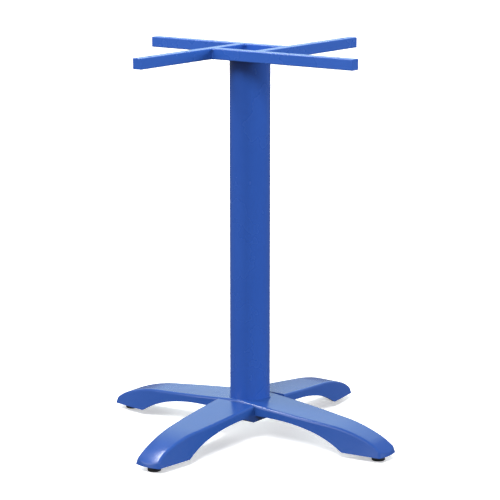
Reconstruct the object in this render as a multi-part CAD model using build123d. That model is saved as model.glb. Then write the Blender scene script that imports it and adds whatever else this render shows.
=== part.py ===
"""Pedestal table base: two crossed cast legs, a round column and a pinwheel frame of four arms.

Units are millimetres. +Z is up, and the origin is on the floor under the column's axis.
The upper leg casting runs along X and the lower one along Y.
"""
from build123d import *
import math
import os

# Whole base
base_height = 740.0
column_diameter = 76.0
column_wall = 2.0

# Arms of the top frame, square steel tube
arm_size = 20.0
arm_wall = 1.5
arm_corner = 1.6
arm_reach = 266.0
arm_gap = 82.0
arm_cap_thickness = 2.0
outer_screw_reach = 230.0
inner_screw_reach = 125.0
screw_hole = 7.0
plate_thickness = 5.0
plate_hole = 12.0
weld_gap = 0.1

# Outline of a leg casting, seen from above at floor level
leg_reach = 320.0
leg_mid_width = 103.0
leg_nose_width = 62.0
nose_bulge = 5.0
nose_corner = 6.0
draft = 5.8
nose_draft = 14.0

# Profile of a leg casting, seen from its side
crown_height = 75.5
top_slope = 4.9
knee_reach = 205.0
roll_reach = 285.0
roll_height = 39.0
nose_top = 13.5
rim_height = 12.5
heel_reach = 235.0
heel_round = 4.0
arch_height = 52.0
arch_flat = 78.0
sweep_reach = 165.0
sweep_height = 42.0
edge_round = 5.0

# Walls and ribs inside a leg casting
leg_wall = 5.0
roof = 6.0
rib_thickness = 4.0
rib_depth = 9.0
rib_reaches = (125.0, 195.0)

# Crossing of the two castings
seat_height = 74.5
seat_diameter = 80.0
saddle_thickness = 12.0
lap_clearance = 0.6
lap_relief = 6.0
boss_diameter = 19.0

# Bolts that hold the column down on the two castings
bolt_diameter = 8.0
bolt_length = 45.0
bolt_circle = 44.0
bolt_count = 4
bolt_turn = 45.0
bolt_head_height = 5.3
bolt_head_flats = 13.0
bolt_hole = 9.0
thread_clearance = 0.05
washer_diameter = 16.0
washer_thickness = 1.6
spring_diameter = 13.0
spring_thickness = 2.2
spring_slot = 1.2
foot_disc_thickness = 10.0
foot_disc_hole = 16.0

# Levelling glides
glide_inset = 28.0
glide_diameter = 25.0
glide_height = 7.0
glide_edge = 1.5
glide_grip = 4.0
collar_flats = 13.0
collar_height = 2.5
stud_diameter = 8.0
stud_top = 26.5
stud_end_room = 1.0
glide_boss = 20.0

# Values worked out from the sizes above
arm_offset = (arm_gap + arm_size) / 2
arm_underside = base_height - arm_size
draft_rate = math.tan(math.radians(draft))
nose_draft_rate = math.tan(math.radians(nose_draft))
saddle_height = arch_height - saddle_thickness
lap_half = leg_mid_width / 2 - draft_rate * arch_height + lap_clearance
glide_reach = leg_reach - glide_inset
boss_bottom = glide_height + collar_height
quarter_turns = (0, 90, 180, 270)
corner_names = ("front_right", "back_right", "back_left", "front_left")
STANDING = (Align.CENTER, Align.CENTER, Align.MIN)


def turned(shape, angle):
    """Return the shape turned about the column's axis."""
    return Rot(0, 0, angle) * shape


def hexagon_prism(flats, height):
    """Return a hexagonal prism standing on the XY plane."""
    outline = RegularPolygon(flats / 2, 6, major_radius=False)
    return extrude(outline, height)


def at_bolts(shape):
    """Return a copy of the shape at each hub bolt."""
    places = PolarLocations(bolt_circle / 2, bolt_count, start_angle=bolt_turn)
    return [place * shape for place in places]


def leg_plan(height, inset):
    """Return a leg casting's outline from above, at a height, moved inwards by the inset."""
    nose_pull = nose_draft_rate * height + inset
    mid = leg_mid_width / 2 - draft_rate * height - inset
    nose = leg_nose_width / 2 - nose_pull
    tip = leg_reach - nose_bulge - nose_pull
    corner = nose_corner * nose / (leg_nose_width / 2)
    side = ThreePointArc((-tip, nose), (0, mid), (tip, nose))
    front = ThreePointArc((tip, nose), (tip + nose_bulge, 0), (tip, -nose))
    outline = [side, front, mirror(side, Plane.XZ), mirror(front, Plane.YZ)]
    face = make_face(outline)
    return Pos(0, 0, height) * fillet(face.vertices(), corner)


def leg_prism(inset):
    """Return the drafted prism over the whole plan of a leg casting."""
    return loft([leg_plan(0, inset), leg_plan(crown_height, inset)], ruled=True)


def arc_circle(start, normal, end):
    """Return the centre and radius of the arc that leaves the start square to its normal and meets the end."""
    chord = end - start
    radius = chord.dot(chord) / (-2 * chord.dot(normal))
    return start - normal * radius, radius


def top_line(drop):
    """Return the half profile of a casting's top, sunk by the drop: a slope, a shoulder and a rolled nose."""
    slope = math.radians(top_slope)
    normal = Vector(math.sin(slope), math.cos(slope))
    knee = Vector(knee_reach, crown_height - knee_reach * math.tan(slope))
    roll = Vector(roll_reach, roll_height)
    lines = [Line((0, crown_height - drop / math.cos(slope)), knee - normal * drop)]
    for start, end in ((knee, roll), (roll, Vector(leg_reach, nose_top))):
        centre, radius = arc_circle(start, normal, end)
        normal = (end - centre) / radius
        sunk_end = end - normal * drop
        lines.append(TangentArc(lines[-1] @ 1, sunk_end, tangent=lines[-1] % 1))
    return lines


def half_profile(top, underside):
    """Return a closed profile, mirrored about the column's axis, from a top and an underside line."""
    nose_line = Line(top[-1] @ 1, underside[0] @ 0)
    half = top + [nose_line] + underside
    whole = half + [mirror(edge, Plane.YZ) for edge in half]
    return make_face(whole)


def rim_line(hub_points):
    """Return the half profile of a casting's underside, from the nose to the hub."""
    heel = (heel_reach, rim_height)
    arch_end = (sweep_reach, sweep_height)
    arch_start = (arch_flat, arch_height)
    arch = TangentArc(arch_start, arch_end, tangent=(1, 0))
    sweep = TangentArc(arch_end, heel, tangent=arch % 1)
    hub = Polyline(arch_start, *hub_points)
    return [Line((leg_reach, rim_height), heel), sweep, arch, hub]


def slab(profile):
    """Return a profile drawn in X and Z, extruded across the whole width of a casting."""
    return extrude(Plane.XZ * profile, leg_mid_width, both=True)


def top_edges(body):
    """Return the edges between a casting's top faces and its drafted walls."""
    wall_tilt = math.sin(math.radians(max(draft, nose_draft)))
    tops = [face for face in body.faces() if face.normal_at().Z > 2 * wall_tilt]
    edges = [edge for face in tops for edge in face.edges()]
    return [edge for edge in edges if sum(edge.is_same(other) for other in edges) == 1]


def leg_body(hub_points):
    """Return the solid outer form of a leg casting, with its top edges rounded."""
    profile = half_profile(top_line(0), rim_line(hub_points))
    heels = [corner for corner in profile.vertices() if math.isclose(abs(corner.X), heel_reach)]
    body = leg_prism(0) & slab(fillet(heels, heel_round))
    return fillet(top_edges(body), edge_round)


def leg_cavity():
    """Return the hollow under a casting's roof, between its walls."""
    floor_line = [Line((leg_reach, 0), (0, 0))]
    return leg_prism(leg_wall) & slab(half_profile(top_line(roof), floor_line))


def leg_ribs(cavity):
    """Return the cross ribs and the glide bosses that stand in a casting's hollow."""
    pieces = []
    for side in (-1, 1):
        for reach in rib_reaches:
            fall = reach * math.tan(math.radians(top_slope))
            bottom = crown_height - fall - roof - rib_depth
            blank = Box(rib_thickness, leg_mid_width, crown_height, align=STANDING)
            pieces.append(cavity & Pos(side * reach, 0, bottom) * blank)
        boss = Cylinder(glide_boss / 2, crown_height, align=STANDING)
        pieces.append(cavity & Pos(side * glide_reach, 0, boss_bottom) * boss)
    return pieces


def stud_holes():
    """Return the blind holes for the glide studs of one casting."""
    radius = stud_diameter / 2 + thread_clearance
    depth = stud_top + stud_end_room
    drill = Cylinder(radius, depth, align=STANDING)
    return [Pos(side * glide_reach, 0, 0) * drill for side in (-1, 1)]


def bolt_drills():
    """Return the drills that clear the hub bolts through both castings."""
    return at_bolts(Cylinder(bolt_hole / 2, base_height, align=STANDING))


def upper_leg():
    """Return the casting that runs right across the crossing and carries the column."""
    cavity = leg_cavity()
    body = leg_body([(0, arch_height)]) - cavity
    body += leg_ribs(cavity)
    seat = Cylinder(seat_diameter / 2, roof, align=(Align.CENTER, Align.CENTER, Align.MAX))
    body += Pos(0, 0, seat_height) * seat
    boss = Cylinder(boss_diameter / 2, seat_height - arch_height, align=STANDING)
    body += at_bolts(Pos(0, 0, arch_height) * boss)
    spot_face = Cylinder(seat_diameter / 2, crown_height, align=STANDING)
    body -= Pos(0, 0, seat_height) * spot_face
    body -= bolt_drills()
    return body - stud_holes()


def lower_leg():
    """Return the casting whose saddle passes below the upper one."""
    saddle_half = lap_half + leg_wall
    saddle_block = Box(2 * saddle_half + lap_relief, leg_mid_width, base_height)
    cavity = leg_cavity() - Pos(lap_relief / 2, 0, 0) * saddle_block
    body = leg_body([(saddle_half, saddle_height), (0, saddle_height)]) - cavity
    body += leg_ribs(cavity)
    notch = Box(2 * lap_half + lap_relief, leg_mid_width, base_height, align=STANDING)
    body -= Pos(lap_relief / 2, 0, arch_height) * notch
    body -= bolt_drills()
    return turned(body - stud_holes(), 90)


def column_tube():
    """Return the round tube between the seat and the underside of the arms."""
    ring = Circle(column_diameter / 2) - Circle(column_diameter / 2 - column_wall)
    return Pos(0, 0, seat_height) * extrude(ring, arm_underside - seat_height)


def column_foot_disc():
    """Return the tapped disc that is welded into the column's lower end."""
    disc = Circle(column_diameter / 2 - column_wall - weld_gap) - Circle(foot_disc_hole / 2)
    disc -= at_bolts(Circle(bolt_diameter / 2 + thread_clearance))
    return Pos(0, 0, seat_height) * extrude(disc, foot_disc_thickness)


def frame_plate():
    """Return the square plate that closes the column and ties the four arms."""
    side = arm_gap - 2 * weld_gap
    plate = Rectangle(side, side) - Circle(plate_hole / 2)
    return Pos(0, 0, arm_underside) * extrude(plate, plate_thickness)


def arm():
    """Return the arm that runs along +X, butted on the side of its neighbour."""
    start = -arm_gap / 2
    length = arm_reach - arm_cap_thickness - start
    section = RectangleRounded(arm_size, arm_size, arm_corner)
    section -= Rectangle(arm_size - 2 * arm_wall, arm_size - 2 * arm_wall)
    centre = (start, -arm_offset, base_height - arm_size / 2)
    tube = extrude(Plane(origin=centre, x_dir=(0, 1, 0), z_dir=(1, 0, 0)) * section, length)
    drill = Cylinder(screw_hole / 2, 2 * arm_size)
    for reach in (inner_screw_reach, outer_screw_reach):
        tube -= Pos(reach, -arm_offset, centre[2]) * drill
    return tube


def arm_cap():
    """Return the plate that closes the tip of the arm along +X."""
    origin = (arm_reach - arm_cap_thickness, -arm_offset, base_height - arm_size / 2)
    place = Plane(origin=origin, x_dir=(0, 1, 0), z_dir=(1, 0, 0))
    cap = extrude(place * RectangleRounded(arm_size, arm_size, arm_corner), arm_cap_thickness)
    rim = cap.faces().sort_by(Axis.X)[-1].edges()
    return chamfer(rim, arm_cap_thickness / 4)


def hub_washers():
    """Return the flat washers under the saddle."""
    ring = Circle(washer_diameter / 2) - Circle(bolt_hole / 2)
    washer = Pos(0, 0, saddle_height - washer_thickness) * extrude(ring, washer_thickness)
    return Compound(at_bolts(washer))


def hub_spring_washers():
    """Return the split spring washers between the bolt heads and the flat washers."""
    ring = Circle(spring_diameter / 2) - Circle(bolt_hole / 2)
    ring -= Pos(spring_diameter / 2, 0) * Rectangle(spring_diameter, spring_slot)
    bottom = saddle_height - washer_thickness - spring_thickness
    washer = Pos(0, 0, bottom) * extrude(ring, spring_thickness)
    return Compound(at_bolts(washer))


def hub_bolts():
    """Return the hexagon bolts that clamp both castings to the column."""
    seat = saddle_height - washer_thickness - spring_thickness
    shank = Cylinder(bolt_diameter / 2, bolt_length, align=STANDING)
    shank = chamfer(shank.edges().sort_by(Axis.Z)[-1], bolt_diameter / 8)
    head = Pos(0, 0, -bolt_head_height) * hexagon_prism(bolt_head_flats, bolt_head_height)
    return Compound(at_bolts(Pos(0, 0, seat) * (shank + head)))


def glide():
    """Return the plastic glide under the leg along +X."""
    socket = Cylinder(stud_diameter / 2 + thread_clearance, glide_height)
    body = Cylinder(glide_diameter / 2, glide_height, align=STANDING)
    body = chamfer(body.edges().filter_by(GeomType.CIRCLE), glide_edge)
    body -= Pos(0, 0, glide_height - glide_grip + glide_height / 2) * socket
    return Pos(glide_reach, 0, 0) * body


def glide_stud():
    """Return the threaded stud of the glide along +X, with its spanner collar."""
    bottom = glide_height - glide_grip
    stud = Cylinder(stud_diameter / 2, stud_top - bottom, align=STANDING)
    stud = Pos(0, 0, bottom) * chamfer(stud.edges().sort_by(Axis.Z)[-1], stud_diameter / 8)
    collar = Pos(0, 0, glide_height) * hexagon_prism(collar_flats, collar_height)
    return Pos(glide_reach, 0, 0) * (stud + collar)


def main():
    """Build every piece and write one file for each."""
    os.makedirs("parts", exist_ok=True)
    pieces = {
        "upper_leg_casting": upper_leg(),
        "lower_leg_casting": lower_leg(),
        "column_tube": column_tube(),
        "column_foot_disc": column_foot_disc(),
        "frame_plate": frame_plate(),
        "hub_washers": hub_washers(),
        "hub_spring_washers": hub_spring_washers(),
        "hub_bolts": hub_bolts(),
    }
    one_arm = arm()
    one_cap = arm_cap()
    one_glide = glide()
    one_stud = glide_stud()
    for angle, corner in zip(quarter_turns, corner_names):
        pieces["arm_" + corner] = turned(one_arm, angle)
        pieces["arm_cap_" + corner] = turned(one_cap, angle)
        pieces["glide_" + corner] = turned(one_glide, angle)
        pieces["glide_stud_" + corner] = turned(one_stud, angle)
    for name, shape in pieces.items():
        export_step(shape, "parts/" + name + ".step")


main()
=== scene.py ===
"""Looks of a pedestal table base.

It has coated castings, a column, a pinwheel frame, bolts and levelling feet. The classes of its
pieces hold their sizes in millimetres, and the studio's are in metres. All of it stands in the
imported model's own frame: +Z is up and the origin is on the floor.
"""

import logging
import math
from collections.abc import Callable
from dataclasses import dataclass, replace
from enum import Enum
from typing import Any

import bpy
from mathutils import Matrix, Vector


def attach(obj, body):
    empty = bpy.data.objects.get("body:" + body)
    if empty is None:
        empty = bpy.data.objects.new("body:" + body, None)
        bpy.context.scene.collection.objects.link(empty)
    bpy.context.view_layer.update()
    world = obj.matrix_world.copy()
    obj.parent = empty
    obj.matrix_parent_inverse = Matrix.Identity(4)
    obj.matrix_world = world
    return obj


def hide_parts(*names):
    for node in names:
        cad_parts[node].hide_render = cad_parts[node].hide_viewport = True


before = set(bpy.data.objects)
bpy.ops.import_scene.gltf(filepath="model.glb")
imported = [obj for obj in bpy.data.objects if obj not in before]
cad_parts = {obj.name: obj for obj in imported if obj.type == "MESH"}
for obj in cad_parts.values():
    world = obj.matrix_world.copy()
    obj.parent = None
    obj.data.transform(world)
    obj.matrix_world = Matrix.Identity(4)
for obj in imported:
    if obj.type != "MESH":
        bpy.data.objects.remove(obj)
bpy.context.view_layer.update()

LOG = logging.getLogger("table_base")
MM = 0.001
BASE_BODY = "base"

# Vertices nearer than this, in metres, become one. A thread's end needs the finer one.
MERGE_GAP = 1e-6
FINE_MERGE_GAP = 1e-7

# Colour sockets of the Mix node, by number because they share their names.
MIX_SHARE, MIX_FIRST, MIX_SECOND, MIX_RESULT = 0, 6, 7, 2

# Where nearly all values of a noise texture lie.
NOISE_SPAN = (0.3, 0.7)

# Where the middle of a rounded edge lies, as a share of its radius from both faces.
ROUND_SHARE = 0.29

# A thread: its depth as a share of the pitch, its segments, the turns that are cut off at each
# end, and one pitch of its line, each corner as (on the crest or not, share of the pitch).
THREAD_DEPTH = 0.55
THREAD_STEPS = 24
THREAD_SPARE = 2
THREAD_LINE = ((False, 0.0), (False, 0.2), (True, 0.5), (True, 0.62), (False, 0.92), (False, 1.0))

# A hexagon: its turned face as a share of the flats, its chamfer in degrees, and the segments.
HEXAGON_FACE = 0.96
HEXAGON_CHAMFER = 30.0
HEXAGON_STEPS = 72


class Slot(Enum):
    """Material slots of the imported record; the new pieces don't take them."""

    STEEL = "coated_steel"
    ZINC = "zinc_steel"
    PLASTIC = "glide_plastic"


class Corner(Enum):
    """The four legs and arms, by their turn about the column in degrees."""

    FRONT_RIGHT = 0
    BACK_RIGHT = 90
    BACK_LEFT = 180
    FRONT_LEFT = 270

    @property
    def label(self) -> str:
        """Return the corner's name as the nodes spell it."""
        return self.name.lower()

    @property
    def foot(self) -> str:
        """Return the body that the corner's glide belongs to."""
        return self.label + "_foot"


def linear(colour: str) -> tuple[float, float, float, float]:
    """Turn an sRGB hex colour into linear light.

    Args:
        colour: Six hex digits, red first.

    Returns:
        Red, green, blue and an alpha of one.
    """
    channels = []
    for first in (0, 2, 4):
        value = int(colour[first:first + 2], 16) / 255
        channels.append(value / 12.92 if value <= 0.04045 else ((value + 0.055) / 1.055) ** 2.4)
    return (channels[0], channels[1], channels[2], 1.0)


def per_mm(size: float) -> float:
    """Return the texture scale whose features are that many millimetres across."""
    return 1 / (size * MM)


def add_node(
    tree: bpy.types.NodeTree,
    kind: str,
    settings: dict[Any, Any],
    links: dict[Any, bpy.types.NodeSocket],
) -> bpy.types.Node:
    """Add one node to a material, with its settings and links.

    Args:
        tree: The material's node tree.
        kind: The node's type name.
        settings: Values by the name or number of an input, or by the name of a property.
        links: Output sockets by the name or number of the input that they feed.

    Returns:
        The new node.
    """
    node = tree.nodes.new(kind)
    for key, value in settings.items():
        if isinstance(key, int) or key in node.inputs:
            node.inputs[key].default_value = value
        else:
            setattr(node, key, value)
    for key, socket in links.items():
        tree.links.new(socket, node.inputs[key])
    return node


def new_tree(name: str) -> tuple[bpy.types.Material, bpy.types.NodeTree]:
    """Make an empty node material.

    Args:
        name: The material's name.

    Returns:
        The material and its cleared node tree.
    """
    material = bpy.data.materials.new(name)
    material.use_nodes = True
    material.node_tree.nodes.clear()
    return material, material.node_tree


@dataclass(frozen=True)
class PowderCoat:
    """Blue polyester powder, sprayed on and baked to a semi-gloss skin.

    The skin takes soft, slightly broken reflections: a fine orange peel from the flow of the
    powder, over the slow swells that the metal under it has.
    """

    name: str
    deep: str
    light: str
    roughness: tuple[float, float]
    peel_mm: float
    peel_height_mm: float
    swell_mm: float
    swell_height_mm: float
    tone_mm: float = 70.0

    def material(self) -> bpy.types.Material:
        """Mix the coat.

        Returns:
            The node material, with its tone, gloss and relief on Object coordinates.
        """
        material, tree = new_tree(self.name)
        place = add_node(tree, "ShaderNodeTexCoord", {}, {}).outputs["Object"]
        tone = add_node(
            tree,
            "ShaderNodeTexNoise",
            {"Scale": per_mm(self.tone_mm), "Detail": 3.0, "Roughness": 0.55},
            {"Vector": place},
        )
        colour = add_node(
            tree,
            "ShaderNodeMix",
            {"data_type": "RGBA", MIX_FIRST: linear(self.deep), MIX_SECOND: linear(self.light)},
            {MIX_SHARE: tone.outputs["Fac"]},
        )
        gloss = add_node(
            tree,
            "ShaderNodeMapRange",
            {
                "From Min": NOISE_SPAN[0],
                "From Max": NOISE_SPAN[1],
                "To Min": self.roughness[0],
                "To Max": self.roughness[1],
            },
            {"Value": tone.outputs["Fac"]},
        )
        # The peel is drawn wider than a real one, which is too fine to show at this distance.
        peel = add_node(
            tree,
            "ShaderNodeTexNoise",
            {"Scale": per_mm(self.peel_mm), "Detail": 1.0},
            {"Vector": place},
        )
        swell = add_node(
            tree,
            "ShaderNodeTexNoise",
            {"Scale": per_mm(self.swell_mm), "Detail": 2.0},
            {"Vector": place},
        )
        under = add_node(
            tree,
            "ShaderNodeBump",
            {"Strength": 1.0, "Distance": self.swell_height_mm * MM},
            {"Height": swell.outputs["Fac"]},
        )
        skin = add_node(
            tree,
            "ShaderNodeBump",
            {"Strength": 1.0, "Distance": self.peel_height_mm * MM},
            {"Height": peel.outputs["Fac"], "Normal": under.outputs["Normal"]},
        )
        shader = add_node(
            tree,
            "ShaderNodeBsdfPrincipled",
            {"IOR": 1.5, "Metallic": 0.0},
            {
                "Base Color": colour.outputs[MIX_RESULT],
                "Roughness": gloss.outputs["Result"],
                "Normal": skin.outputs["Normal"],
            },
        )
        add_node(tree, "ShaderNodeOutputMaterial", {}, {"Surface": shader.outputs["BSDF"]})
        return material


@dataclass(frozen=True)
class ZincPlate:
    """Bright zinc, plated on steel and passivated.

    It is a pale, cool metal with a thin veil of blue and straw, duller where the crystals are
    coarse.
    """

    name: str = "zinc_plate_passivated"
    cool: str = "B9C0C6"
    straw: str = "C9C5B4"
    roughness: tuple[float, float] = (0.24, 0.42)
    veil_mm: float = 5.0
    grain_mm: float = 0.8
    grain_height_mm: float = 0.01

    def material(self) -> bpy.types.Material:
        """Mix the plating.

        Returns:
            The node material, with its veil and its grain on Object coordinates.
        """
        material, tree = new_tree(self.name)
        place = add_node(tree, "ShaderNodeTexCoord", {}, {}).outputs["Object"]
        veil = add_node(
            tree,
            "ShaderNodeTexNoise",
            {"Scale": per_mm(self.veil_mm), "Detail": 3.0},
            {"Vector": place},
        )
        colour = add_node(
            tree,
            "ShaderNodeMix",
            {"data_type": "RGBA", MIX_FIRST: linear(self.cool), MIX_SECOND: linear(self.straw)},
            {MIX_SHARE: veil.outputs["Fac"]},
        )
        grain = add_node(
            tree,
            "ShaderNodeTexVoronoi",
            {"Scale": per_mm(self.grain_mm)},
            {"Vector": place},
        )
        gloss = add_node(
            tree,
            "ShaderNodeMapRange",
            {"To Min": self.roughness[0], "To Max": self.roughness[1]},
            {"Value": veil.outputs["Fac"]},
        )
        bump = add_node(
            tree,
            "ShaderNodeBump",
            {"Strength": 0.6, "Distance": self.grain_height_mm * MM},
            {"Height": grain.outputs["Distance"]},
        )
        shader = add_node(
            tree,
            "ShaderNodeBsdfPrincipled",
            {"Metallic": 1.0},
            {
                "Base Color": colour.outputs[MIX_RESULT],
                "Roughness": gloss.outputs["Result"],
                "Normal": bump.outputs["Normal"],
            },
        )
        add_node(tree, "ShaderNodeOutputMaterial", {}, {"Surface": shader.outputs["BSDF"]})
        return material


@dataclass(frozen=True)
class Polyamide:
    """Black polyamide, moulded in a finely sparked tool.

    The skin is matt and a little grey where it rubs the floor.
    """

    name: str = "polyamide_black_moulded"
    body: str = "0E0F11"
    scuffed: str = "232427"
    roughness: tuple[float, float] = (0.42, 0.6)
    scuff_mm: float = 6.0
    spark_mm: float = 1.2
    spark_height_mm: float = 0.05

    def material(self) -> bpy.types.Material:
        """Mix the plastic.

        Returns:
            The node material, with its scuffs and its sparked skin on Object coordinates.
        """
        material, tree = new_tree(self.name)
        place = add_node(tree, "ShaderNodeTexCoord", {}, {}).outputs["Object"]
        scuff = add_node(
            tree,
            "ShaderNodeTexNoise",
            {"Scale": per_mm(self.scuff_mm), "Detail": 4.0},
            {"Vector": place},
        )
        colour = add_node(
            tree,
            "ShaderNodeMix",
            {"data_type": "RGBA", MIX_FIRST: linear(self.body), MIX_SECOND: linear(self.scuffed)},
            {MIX_SHARE: scuff.outputs["Fac"]},
        )
        gloss = add_node(
            tree,
            "ShaderNodeMapRange",
            {"To Min": self.roughness[0], "To Max": self.roughness[1]},
            {"Value": scuff.outputs["Fac"]},
        )
        spark = add_node(
            tree,
            "ShaderNodeTexNoise",
            {"Scale": per_mm(self.spark_mm), "Detail": 2.0},
            {"Vector": place},
        )
        bump = add_node(
            tree,
            "ShaderNodeBump",
            {"Strength": 0.5, "Distance": self.spark_height_mm * MM},
            {"Height": spark.outputs["Fac"]},
        )
        shader = add_node(
            tree,
            "ShaderNodeBsdfPrincipled",
            {"IOR": 1.53, "Metallic": 0.0},
            {
                "Base Color": colour.outputs[MIX_RESULT],
                "Roughness": gloss.outputs["Result"],
                "Normal": bump.outputs["Normal"],
            },
        )
        add_node(tree, "ShaderNodeOutputMaterial", {}, {"Surface": shader.outputs["BSDF"]})
        return material


@dataclass(frozen=True)
class StudioPaper:
    """Matt white background paper with a faint mottle, which glows with painted light of its own.

    The painted glow keeps the shadows on it pale.
    """

    name: str = "studio_paper_white"
    white: str = "FBFBFB"
    shade: str = "F6F6F6"
    mottle_mm: float = 400.0
    # Strength of the painted glow, which lifts the shadows cast on the paper.
    glow: float = 0.45

    def material(self) -> bpy.types.Material:
        """Mix the paper.

        Returns:
            The node material, with its mottle on Object coordinates.
        """
        material, tree = new_tree(self.name)
        place = add_node(tree, "ShaderNodeTexCoord", {}, {}).outputs["Object"]
        mottle = add_node(
            tree,
            "ShaderNodeTexNoise",
            {"Scale": per_mm(self.mottle_mm)},
            {"Vector": place},
        )
        colour = add_node(
            tree,
            "ShaderNodeMix",
            {"data_type": "RGBA", MIX_FIRST: linear(self.shade), MIX_SECOND: linear(self.white)},
            {MIX_SHARE: mottle.outputs["Fac"]},
        )
        shader = add_node(
            tree,
            "ShaderNodeBsdfPrincipled",
            {
                "Roughness": 0.95,
                "Specular IOR Level": 0.1,
                "Emission Color": linear(self.white),
                "Emission Strength": self.glow,
            },
            {"Base Color": colour.outputs[MIX_RESULT]},
        )
        add_node(tree, "ShaderNodeOutputMaterial", {}, {"Surface": shader.outputs["BSDF"]})
        return material


def deselect_everything() -> None:
    """Leave edit mode if it is on, and deselect every object."""
    if bpy.context.object is not None and bpy.context.object.mode != "OBJECT":
        bpy.ops.object.mode_set(mode="OBJECT")
    bpy.ops.object.select_all(action="DESELECT")


def only(piece: bpy.types.Object) -> None:
    """Make a piece the one selected and active object.

    Args:
        piece: The object in hand.
    """
    deselect_everything()
    piece.select_set(True)
    bpy.context.view_layer.objects.active = piece


def start(name: str, operator: Callable[..., Any], **settings: Any) -> bpy.types.Object:
    """Add a primitive that a piece is shaped from.

    Args:
        name: The piece's name.
        operator: The bpy operator that adds the primitive.
        **settings: The operator's settings, in metres.

    Returns:
        The new object, selected and active.
    """
    deselect_everything()
    operator(**settings)
    piece = bpy.context.object
    piece.name = name
    piece.data.name = name
    return piece


def pick(piece: bpy.types.Object, test: Callable[[Vector, Vector], bool]) -> None:
    """Select faces in edit mode, and leave edit mode on.

    Args:
        piece: The object in hand.
        test: Says from a face's centre and normal if it is taken.
    """
    bpy.ops.object.mode_set(mode="EDIT")
    bpy.ops.mesh.select_mode(type="FACE")
    bpy.ops.mesh.select_all(action="DESELECT")
    bpy.ops.object.mode_set(mode="OBJECT")
    for face in piece.data.polygons:
        face.select = test(face.center, face.normal)
    bpy.ops.object.mode_set(mode="EDIT")


def close_mesh(piece: bpy.types.Object, gap: float = MERGE_GAP) -> None:
    """Merge doubles and point every face outwards, then leave edit mode.

    Args:
        piece: The object in hand.
        gap: Vertices nearer than this become one.
    """
    only(piece)
    bpy.ops.object.mode_set(mode="EDIT")
    bpy.ops.mesh.select_all(action="SELECT")
    bpy.ops.mesh.remove_doubles(threshold=gap)
    bpy.ops.mesh.normals_make_consistent(inside=False)
    bpy.ops.object.mode_set(mode="OBJECT")


def apply_modifier(piece: bpy.types.Object, kind: str, **settings: Any) -> None:
    """Add a modifier and apply it.

    Args:
        piece: The object in hand.
        kind: The modifier's type.
        **settings: The modifier's settings.
    """
    only(piece)
    modifier = piece.modifiers.new(kind.lower(), kind)
    for key, value in settings.items():
        setattr(modifier, key, value)
    bpy.ops.object.modifier_apply(modifier=modifier.name)


def put(piece: bpy.types.Object, place: Matrix) -> None:
    """Move a piece's mesh to its place, with its object left at the origin.

    Args:
        piece: The object in hand.
        place: Where the piece goes.
    """
    only(piece)
    piece.matrix_world = place @ piece.matrix_world
    bpy.ops.object.transform_apply(location=True, rotation=True, scale=True)


def copy_of(piece: bpy.types.Object, name: str) -> bpy.types.Object:
    """Copy a piece with a mesh of its own.

    Args:
        piece: The object that is copied.
        name: The copy's name.

    Returns:
        The copy.
    """
    only(piece)
    bpy.ops.object.duplicate(linked=False)
    made = bpy.context.object
    made.name = name
    made.data.name = name
    return made


def discard(piece: bpy.types.Object) -> None:
    """Delete a blank that was only a tool or a pattern."""
    bpy.data.objects.remove(piece, do_unlink=True)


def join(pieces: list[bpy.types.Object], name: str) -> bpy.types.Object:
    """Join several objects into one piece.

    Args:
        pieces: The objects, the first of which takes in the rest.
        name: The piece's name.

    Returns:
        The joined piece.
    """
    only(pieces[0])
    for piece in pieces[1:]:
        piece.select_set(True)
    bpy.ops.object.join()
    made = bpy.context.object
    made.name = name
    made.data.name = name
    return made


def cut(piece: bpy.types.Object, tool: bpy.types.Object, operation: str) -> None:
    """Combine a piece with a blank, which is then deleted.

    Args:
        piece: The object in hand.
        tool: The blank.
        operation: UNION, INTERSECT or DIFFERENCE.
    """
    apply_modifier(piece, "BOOLEAN", object=tool, operation=operation, solver="EXACT")
    discard(tool)


def smooth(piece: bpy.types.Object, angle: float) -> None:
    """Shade a piece smooth.

    Args:
        piece: The object in hand.
        angle: Edges sharper than this, in degrees, are left crisp.
    """
    only(piece)
    bpy.ops.object.shade_smooth_by_angle(angle=math.radians(angle))


def half_line(name: str, profile: list[tuple[float, float]]) -> bpy.types.Object:
    """Draw half a profile in the XZ plane, by extruding a point from corner to corner.

    Args:
        name: The piece's name.
        profile: Radius and height of each corner in millimetres.

    Returns:
        The line, out of edit mode.
    """
    piece = start(name, bpy.ops.mesh.primitive_plane_add, size=MM)
    bpy.ops.object.mode_set(mode="EDIT")
    bpy.ops.mesh.select_mode(type="VERT")
    bpy.ops.mesh.select_all(action="SELECT")
    bpy.ops.mesh.merge(type="CENTER")
    here = Vector((0.0, 0.0, 0.0))
    for index, (radius, height) in enumerate(profile):
        corner = Vector((radius * MM, 0.0, height * MM))
        if index == 0:
            bpy.ops.transform.translate(value=corner - here)
        else:
            bpy.ops.mesh.extrude_region_move(TRANSFORM_OT_translate={"value": corner - here})
        here = corner
    bpy.ops.object.mode_set(mode="OBJECT")
    return piece


def lathe(name: str, profile: list[tuple[float, float]], steps: int) -> bpy.types.Object:
    """Turn a closed form from half a profile, by extruding and then spinning its line.

    Args:
        name: The piece's name.
        profile: Radius and height of each corner in millimetres, from axis to axis.
        steps: Segments of the full turn.

    Returns:
        The turned piece, standing on the Z axis.
    """
    piece = half_line(name, profile)
    bpy.ops.object.mode_set(mode="EDIT")
    bpy.ops.mesh.select_all(action="SELECT")
    bpy.ops.mesh.spin(steps=steps, angle=math.tau, center=(0, 0, 0), axis=(0, 0, 1))
    close_mesh(piece)
    return piece


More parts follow.
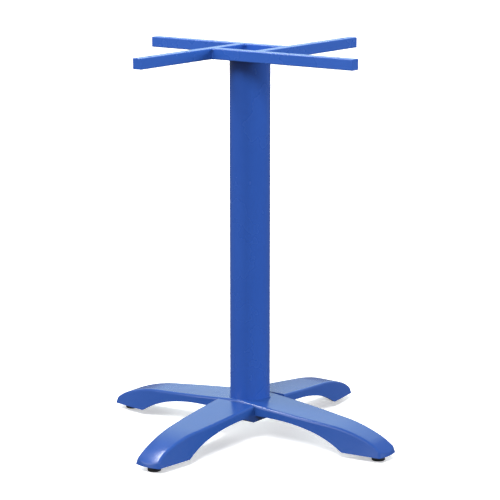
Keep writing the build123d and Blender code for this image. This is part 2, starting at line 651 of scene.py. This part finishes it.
def finish_piece(
    piece: bpy.types.Object,
    material: bpy.types.Material,
    body: str,
    replaced: tuple[str, ...] = (),
) -> None:
    """Give a new piece its finish and its body, and report it.

    Args:
        piece: The finished piece.
        material: What it is made of.
        body: The body that it rides on.
        replaced: The nodes that it stands for.
    """
    piece.data.materials.clear()
    piece.data.materials.append(material)
    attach(piece, body)
    if replaced:
        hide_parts(*replaced)
    LOG.info("%s: %d faces on %s", piece.name, len(piece.data.polygons), body)


def dress_node(name: str, material: bpy.types.Material) -> None:
    """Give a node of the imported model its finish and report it.

    Args:
        name: The node's name.
        material: What it is made of.
    """
    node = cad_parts[name]
    for slot in node.material_slots:
        slot.link = "OBJECT"
        slot.material = material
    LOG.info("%s: dressed with %s", name, material.name)


@dataclass
class LegCastings:
    """The two crossed leg castings."""

    coat: bpy.types.Material
    nodes: tuple[str, ...] = ("upper_leg_casting", "lower_leg_casting")

    def dress(self) -> None:
        """Coat both castings."""
        for name in self.nodes:
            dress_node(name, self.coat)


@dataclass
class Column:
    """The round tube, its foot disc and the rippled weld under the frame plate."""

    coat: bpy.types.Material
    radius: float = 38.0
    top: float = 720.0
    weld_leg: float = 3.0
    weld_sides: int = 12
    weld_ripples: int = 90
    ripple_swell: float = 1.18
    crisp: float = 50.0
    nodes: tuple[str, ...] = ("column_tube", "column_foot_disc")

    def build(self) -> bpy.types.Object:
        """Model the fillet weld between the tube and the plate over it.

        Returns:
            The weld, with a ripple for each pulse of the arc.
        """
        leg = self.weld_leg
        bead = start(
            "column_weld",
            bpy.ops.mesh.primitive_torus_add,
            major_radius=self.radius * MM,
            minor_radius=leg * MM,
            major_segments=2 * self.weld_ripples,
            minor_segments=self.weld_sides,
        )
        ripple = math.tau / self.weld_ripples

        def crest(centre: Vector, normal: Vector) -> bool:
            """Say if a face lies on the crest of a ripple."""
            return (math.atan2(centre.y, centre.x) % ripple) < ripple / 2

        pick(bead, crest)
        bpy.ops.transform.shrink_fatten(value=(self.ripple_swell - 1) * leg * MM)
        close_mesh(bead)
        put(bead, Matrix.Translation((0, 0, self.top * MM)))
        return bead

    def dress(self) -> None:
        """Build the weld and coat the column with it."""
        bead = self.build()
        smooth(bead, self.crisp)
        finish_piece(bead, self.coat, BASE_BODY)
        for name in self.nodes:
            dress_node(name, self.coat)


@dataclass
class TopFrame:
    """The pinwheel of four arms, its plate and the welds where each arm meets the next one."""

    coat: bpy.types.Material
    top: float = 740.0
    arm: float = 20.0
    gap: float = 82.0
    weld_leg: float = 1.5
    weld_step: float = 1.1
    weld_sides: int = 12
    ripple_swell: float = 1.14
    knob_swell: float = 2.2
    knob_share: float = 0.9
    knob_width: float = 0.12
    tip_share: float = 0.35
    taper_power: int = 8
    crown_drop: float = 0.4
    under_sink: float = 0.9
    crisp: float = 60.0

    def girth(self, share: float, ripple: bool, knob: float) -> float:
        """Return a bead's radius in millimetres.

        Args:
            share: How far along the bead, from its start at zero to its end at one.
            ripple: Whether a crest lies there.
            knob: How much wider the bead gets where the arc was drawn off.

        Returns:
            The radius, thin at both ends.
        """
        taper = math.sqrt(max(0.0, 1 - (2 * share - 1) ** self.taper_power))
        swell = self.ripple_swell if ripple else 1.0
        bulge = 1 + (knob - 1) * math.exp(-(((share - self.knob_share) / self.knob_width) ** 2))
        return self.weld_leg * max(self.tip_share, taper) * swell * bulge

    def bead(self, name: str, length: float, knob: float) -> bpy.types.Object:
        """Model one rippled weld bead that stands on the Z axis.

        Args:
            name: The piece's name.
            length: From end to end, in millimetres.
            knob: How much wider the bead gets near its upper end.

        Returns:
            The bead, with its lower end at the origin.
        """
        piece = start(
            name,
            bpy.ops.mesh.primitive_circle_add,
            vertices=self.weld_sides,
            radius=self.girth(0, False, knob) * MM,
            fill_type="NGON",
        )
        bpy.ops.object.mode_set(mode="EDIT")
        bpy.ops.mesh.select_all(action="SELECT")
        count = round(length / self.weld_step)
        step = length / count
        for index in range(count):
            here = self.girth(index / count, index % 2 == 1, knob)
            there = self.girth((index + 1) / count, index % 2 == 0, knob)
            grow = there / here
            middle = Vector((0, 0, (index + 1) * step * MM))
            bpy.ops.mesh.extrude_region_move(TRANSFORM_OT_translate={"value": (0, 0, step * MM)})
            bpy.ops.transform.resize(value=(grow, grow, 1), center_override=middle)
        bpy.ops.object.mode_set(mode="OBJECT")
        close_mesh(piece)
        apply_modifier(piece, "SUBSURF", levels=1, render_levels=1)
        return piece

    def build(self) -> list[bpy.types.Object]:
        """Model the welds where each arm meets the next one.

        Returns:
            Four pieces, each with the outer, the inner and the lower bead of a junction.
        """
        half = self.gap / 2
        low = self.top - self.arm
        upright = self.arm - 2 * self.crown_drop
        outer = self.bead("outer_bead", upright, self.knob_swell)
        corner_foot = Vector((-half, -half - self.arm, low + self.crown_drop))
        put(outer, Matrix.Translation(corner_foot * MM))
        inner = self.bead("inner_bead", upright, self.knob_swell)
        inner_foot = Vector((-half, -half, low + self.crown_drop))
        put(inner, Matrix.Translation(inner_foot * MM))
        under = self.bead("under_bead", upright, knob=1.0)
        under_start = Vector((-half, -half - self.crown_drop, low + self.under_sink))
        lay = Matrix.Rotation(math.radians(90), 4, "X")
        put(under, Matrix.Translation(under_start * MM) @ lay)
        pattern = join([outer, inner, under], "arm_weld_pattern")
        welds = []
        for corner in Corner:
            weld = copy_of(pattern, "arm_weld_" + corner.label)
            put(weld, Matrix.Rotation(math.radians(corner.value), 4, "Z"))
            welds.append(weld)
        discard(pattern)
        return welds

    def dress(self) -> None:
        """Build the welds and coat the frame with them."""
        for weld in self.build():
            smooth(weld, self.crisp)
            finish_piece(weld, self.coat, BASE_BODY)
        dress_node("frame_plate", self.coat)
        for corner in Corner:
            dress_node("arm_" + corner.label, self.coat)
            dress_node("arm_cap_" + corner.label, self.coat)


def thread(name: str, diameter: float, pitch: float, low: float, high: float) -> bpy.types.Object:
    """Model a screw thread on the Z axis.

    Args:
        name: The piece's name.
        diameter: Over the crests, in millimetres.
        pitch: From crest to crest, in millimetres.
        low: The lower end's height in millimetres.
        high: The upper end's height in millimetres.

    Returns:
        The thread, closed at both ends.
    """
    crest = diameter / 2
    root = crest - THREAD_DEPTH * pitch
    base = low - THREAD_SPARE * pitch
    line = [(crest if raised else root, base + share * pitch) for raised, share in THREAD_LINE]
    piece = half_line(name, line)
    turns = math.ceil((high - low) / pitch) + 2 * THREAD_SPARE
    apply_modifier(
        piece,
        "SCREW",
        angle=math.tau,
        screw_offset=pitch * MM,
        iterations=turns,
        steps=THREAD_STEPS,
        render_steps=THREAD_STEPS,
        use_merge_vertices=True,
        merge_threshold=MERGE_GAP,
    )
    bpy.ops.object.mode_set(mode="EDIT")
    for height, direction in ((low, -1), (high, 1)):
        bpy.ops.mesh.select_all(action="SELECT")
        bpy.ops.mesh.bisect(
            plane_co=(0, 0, height * MM),
            plane_no=(0, 0, direction),
            clear_outer=True,
            use_fill=True,
        )
    bpy.ops.object.mode_set(mode="OBJECT")
    close_mesh(piece, gap=FINE_MERGE_GAP)
    return piece


def hexagon(name: str, flats: float, low: float, high: float, crown: float) -> bpy.types.Object:
    """Model a hexagon whose corners are turned off at its ends.

    Args:
        name: The piece's name.
        flats: Width across flats in millimetres.
        low: The lower face's height in millimetres.
        high: The upper face's height in millimetres.
        crown: How much the turned corners fall, in millimetres.

    Returns:
        The hexagon on the Z axis.
    """
    corner = flats / math.sqrt(3)
    piece = start(
        name,
        bpy.ops.mesh.primitive_cylinder_add,
        vertices=6,
        radius=corner * MM,
        depth=(high - low) * MM,
        location=(0, 0, (low + high) / 2 * MM),
    )
    bpy.ops.object.transform_apply(location=True, rotation=True, scale=True)
    face = flats / 2 * HEXAGON_FACE
    wide = face + crown / math.tan(math.radians(HEXAGON_CHAMFER))
    profile = [
        (0, low),
        (face, low),
        (wide, low + crown),
        (wide, high - crown),
        (face, high),
        (0, high),
    ]
    blank = lathe(name + "_blank", profile, HEXAGON_STEPS)
    cut(piece, blank, "INTERSECT")
    return piece


@dataclass
class HubFasteners:
    """The four bolts that clamp the castings to the column from below, with their washers."""

    plating: bpy.types.Material
    circle: float = 44.0
    turn: float = 45.0
    seat: float = 36.2
    shank: float = 8.0
    length: float = 45.0
    pitch: float = 1.25
    flats: float = 13.0
    head: float = 5.3
    crown: float = 0.9
    overlap: float = 1.0
    crisp: float = 28.0

    def build(self) -> bpy.types.Object:
        """Model one bolt and set it out on the bolt circle.

        Returns:
            The four bolts as one piece.
        """
        low = self.seat - self.overlap
        high = self.seat + self.length
        pattern = thread("bolt_pattern", self.shank, self.pitch, low, high)
        head = hexagon("bolt_head", self.flats, self.seat - self.head, self.seat, self.crown)
        cut(pattern, head, "UNION")
        put(pattern, Matrix.Translation((self.circle / 2 * MM, 0, 0)))
        bolts = []
        for corner in Corner:
            bolt = copy_of(pattern, "hub_bolt_" + corner.label)
            put(bolt, Matrix.Rotation(math.radians(corner.value + self.turn), 4, "Z"))
            bolts.append(bolt)
        discard(pattern)
        return join(bolts, "hub_bolt_set")

    def dress(self) -> None:
        """Build the bolts and plate them and their washers."""
        bolts = self.build()
        smooth(bolts, self.crisp)
        finish_piece(bolts, self.plating, BASE_BODY, ("hub_bolts",))
        dress_node("hub_washers", self.plating)
        dress_node("hub_spring_washers", self.plating)


@dataclass
class LevellingFeet:
    """A moulded glide and a threaded stud with a spanner collar, under each leg."""

    plating: bpy.types.Material
    plastic: bpy.types.Material
    reach: float = 292.0
    diameter: float = 25.0
    height: float = 7.0
    edge: float = 1.5
    rim: float = 4.5
    grip: float = 4.0
    play: float = 0.05
    stud: float = 8.0
    stud_top: float = 26.5
    pitch: float = 1.25
    flats: float = 13.0
    collar: float = 2.5
    collar_crown: float = 0.5
    recess: float = 0.6
    steps: int = 64
    crisp: float = 35.0

    def glide(self) -> bpy.types.Object:
        """Turn the moulded glide, hollowed a little inside its running ring.

        Returns:
            The glide, on the Z axis.
        """
        outer = self.diameter / 2
        bore = self.stud / 2 + self.play
        floor = self.height - self.grip
        ring = outer - self.rim
        curve = ROUND_SHARE * self.edge
        profile = [
            (0, self.recess),
            (ring - self.recess, self.recess),
            (ring, 0),
            (outer - self.edge, 0),
            (outer - curve, curve),
            (outer, self.edge),
            (outer, self.height - self.edge),
            (outer - curve, self.height - curve),
            (outer - self.edge, self.height),
            (bore, self.height),
            (bore, floor),
            (0, floor),
        ]
        return lathe("glide_pattern", profile, self.steps)

    def threaded_stud(self) -> bpy.types.Object:
        """Model the stud with its spanner collar.

        Returns:
            The stud, on the Z axis.
        """
        low = self.height - self.grip
        piece = thread("stud_pattern", self.stud, self.pitch, low, self.stud_top)
        collar_top = self.height + self.collar
        collar = hexagon("stud_collar", self.flats, self.height, collar_top, self.collar_crown)
        cut(piece, collar, "UNION")
        return piece

    def dress(self) -> None:
        """Build both patterns and put a pair under each leg."""
        patterns = {
            "glide_pad_": (self.glide(), self.plastic, Slot.PLASTIC, "glide_"),
            "levelling_stud_": (self.threaded_stud(), self.plating, Slot.ZINC, "glide_stud_"),
        }
        for prefix, (pattern, material, slot, node) in patterns.items():
            put(pattern, Matrix.Translation((self.reach * MM, 0, 0)))
            for corner in Corner:
                piece = copy_of(pattern, prefix + corner.label)
                put(piece, Matrix.Rotation(math.radians(corner.value), 4, "Z"))
                smooth(piece, self.crisp)
                finish_piece(piece, material, corner.foot, (node + corner.label,))
            discard(pattern)


@dataclass(frozen=True)
class SoftBox:
    """One soft box.

    It hangs at a place and faces a point. It has the size of its sheet, a power, a tint, and the
    width of its beam in degrees.
    """

    name: str
    place: tuple[float, float, float]
    aim: tuple[float, float, float]
    size: tuple[float, float]
    watts: float
    tint: str = "FFFFFF"
    beam: float = 180.0

    def hang(self) -> None:
        """Add the box to the scene."""
        lamp = bpy.data.lights.new(self.name, "AREA")
        lamp.shape = "RECTANGLE"
        lamp.size, lamp.size_y = self.size
        lamp.energy = self.watts
        lamp.color = linear(self.tint)[:3]
        lamp.spread = math.radians(self.beam)
        box = bpy.data.objects.new(self.name, lamp)
        box.location = self.place
        facing = Vector(self.aim) - Vector(self.place)
        box.rotation_euler = facing.to_track_quat("-Z", "Y").to_euler()
        box.visible_camera = False
        bpy.context.scene.collection.objects.link(box)


@dataclass(frozen=True)
class FarLight:
    """One large light so far away that it lights the floor evenly; angles in degrees.

    The turn is measured about +Z from the front of the frame, and the height above the floor.
    Where it isn't mirrored, no surface shows its reflection.
    """

    name: str
    turn: float
    height: float
    spread: float
    strength: float
    mirrored: bool = True

    def hang(self) -> None:
        """Add the light to the scene."""
        lamp = bpy.data.lights.new(self.name, "SUN")
        lamp.energy = self.strength
        lamp.angle = math.radians(self.spread)
        light = bpy.data.objects.new(self.name, lamp)
        light.rotation_euler = (math.radians(90 - self.height), 0, math.radians(self.turn))
        light.visible_glossy = self.mirrored
        bpy.context.scene.collection.objects.link(light)


@dataclass
class Studio:
    """White paper floor and wall, lights and the camera."""

    floor_radius: float = 40.0
    floor_sides: int = 96
    wall_glow: float = 1.0
    sight: float = 160.0
    horizon: float = 0.1
    world: str = "F2F7FF"
    world_above: float = 0.40
    world_below: float = 0.20
    lights: tuple[FarLight | SoftBox, ...] = (
        FarLight("key_light", turn=22.0, height=48.0, spread=26.0, strength=3.2, mirrored=False),
        FarLight("right_light", turn=116.0, height=8.0, spread=14.0, strength=2.4, mirrored=False),
        FarLight("left_light", turn=-32.0, height=27.0, spread=42.0, strength=1.0),
        FarLight("rear_light", turn=216.0, height=12.0, spread=30.0, strength=1.4, mirrored=False),
        SoftBox(
            "overhead_box",
            place=(-1.05, -0.5, 2.4),
            aim=(0.0, 0.0, 0.1),
            size=(0.45, 0.45),
            watts=24.0,
        ),
        SoftBox(
            "back_panel",
            place=(-2.4, 3.2, 1.9),
            aim=(0.0, 0.0, 0.3),
            size=(5.0, 2.6),
            watts=40.0,
            tint="D2FAFF",
        ),
        SoftBox(
            "nose_lamp",
            place=(-0.050, -0.328, 0.122),
            aim=(0.020, -0.342, 0.033),
            size=(0.15, 0.010),
            watts=0.017,
            beam=60.0,
        ),
    )
    camera_distance: float = 3.7464
    camera_height: float = 1.1400
    camera_pitch: float = 11.798
    camera_turn: float = 36.26
    lens: float = 146.30
    sensor: float = 36.0

    def backdrop(self, name: str, fill: str, paper: StudioPaper) -> bpy.types.Object:
        """Add a round piece of the set that neither lights the object nor is mirrored in it.

        Args:
            name: The piece's name.
            fill: How the circle is filled.
            paper: What it is made of.

        Returns:
            The circle, on the floor.
        """
        piece = start(
            name,
            bpy.ops.mesh.primitive_circle_add,
            vertices=self.floor_sides,
            radius=self.floor_radius,
            fill_type=fill,
        )
        piece.data.materials.append(paper.material())
        piece.visible_diffuse = False
        piece.visible_glossy = False
        return piece

    def floor(self) -> None:
        """Lay the paper floor."""
        self.backdrop("studio_floor", "NGON", StudioPaper())

    def wall(self) -> None:
        """Stand the paper wall round the floor, which only low views show."""
        paper = StudioPaper("studio_paper_wall", glow=self.wall_glow)
        wall = self.backdrop("studio_wall", "NOTHING", paper)
        wall.visible_shadow = False
        rise = (0, 0, self.floor_radius)
        bpy.ops.object.mode_set(mode="EDIT")
        bpy.ops.mesh.select_all(action="SELECT")
        bpy.ops.mesh.extrude_region_move(TRANSFORM_OT_translate={"value": rise})
        close_mesh(wall)

    def sky(self) -> None:
        """Fill the room with white light, weaker from below than from above."""
        world = bpy.data.worlds.new("studio_room")
        world.use_nodes = True
        tree = world.node_tree
        background = tree.nodes["Background"]
        background.inputs["Color"].default_value = linear(self.world)
        sight = add_node(tree, "ShaderNodeTexCoord", {}, {}).outputs["Generated"]
        height = add_node(tree, "ShaderNodeSeparateXYZ", {}, {"Vector": sight}).outputs["Z"]
        level = add_node(
            tree,
            "ShaderNodeMapRange",
            {
                "From Min": -self.horizon,
                "From Max": self.horizon,
                "To Min": self.world_below,
                "To Max": self.world_above,
            },
            {"Value": height},
        )
        tree.links.new(level.outputs["Result"], background.inputs["Strength"])
        bpy.context.scene.world = world

    def camera(self) -> None:
        """Stand the camera at the photograph's viewpoint."""
        lens = bpy.data.cameras.new("photo_camera")
        lens.lens = self.lens
        lens.sensor_width = self.sensor
        lens.sensor_fit = "HORIZONTAL"
        lens.dof.use_dof = False
        lens.clip_end = self.sight
        camera = bpy.data.objects.new("photo_camera", lens)
        turn = math.radians(self.camera_turn)
        reach = self.camera_distance
        camera.location = (reach * math.sin(turn), -reach * math.cos(turn), self.camera_height)
        camera.rotation_euler = (math.radians(90 - self.camera_pitch), 0, turn)
        bpy.context.scene.collection.objects.link(camera)
        bpy.context.scene.camera = camera

    def build(self) -> None:
        """Set up floor, wall, light and camera."""
        self.floor()
        self.wall()
        self.sky()
        for light in self.lights:
            light.hang()
        self.camera()
        bpy.context.scene.view_settings.view_transform = "Standard"
        LOG.info("studio: floor, wall, room light, %d lights and camera", len(self.lights))


def main() -> None:
    """Dress the base piece by piece and set up the studio."""
    logging.basicConfig(level=logging.INFO, format="%(name)s %(message)s")
    iron_coat = PowderCoat(
        name="powder_coat_on_cast_iron",
        deep="23458A",
        light="264B91",
        roughness=(0.17, 0.25),
        peel_mm=5.0,
        peel_height_mm=0.006,
        swell_mm=45.0,
        swell_height_mm=0.2,
    ).material()
    tube_coat = PowderCoat(
        name="powder_coat_on_drawn_tube",
        deep="244A98",
        light="274F9F",
        roughness=(0.24, 0.30),
        peel_mm=4.0,
        peel_height_mm=0.003,
        swell_mm=90.0,
        swell_height_mm=0.04,
    )
    # Painted light: the frame takes the tube's own coat painted lighter. This stands in for the
    # stronger light that the arms catch, not for a different paint.
    frame_coat_painted_lighter = replace(
        tube_coat, name="powder_coat_painted_lighter_on_frame", deep="2B54A5", light="2F5AAD"
    ).material()
    plating = ZincPlate().material()
    plastic = Polyamide().material()
    LegCastings(iron_coat).dress()
    Column(tube_coat.material()).dress()
    TopFrame(frame_coat_painted_lighter).dress()
    HubFasteners(plating).dress()
    LevellingFeet(plating, plastic).dress()
    Studio().build()


if __name__ == "__main__":
    main()
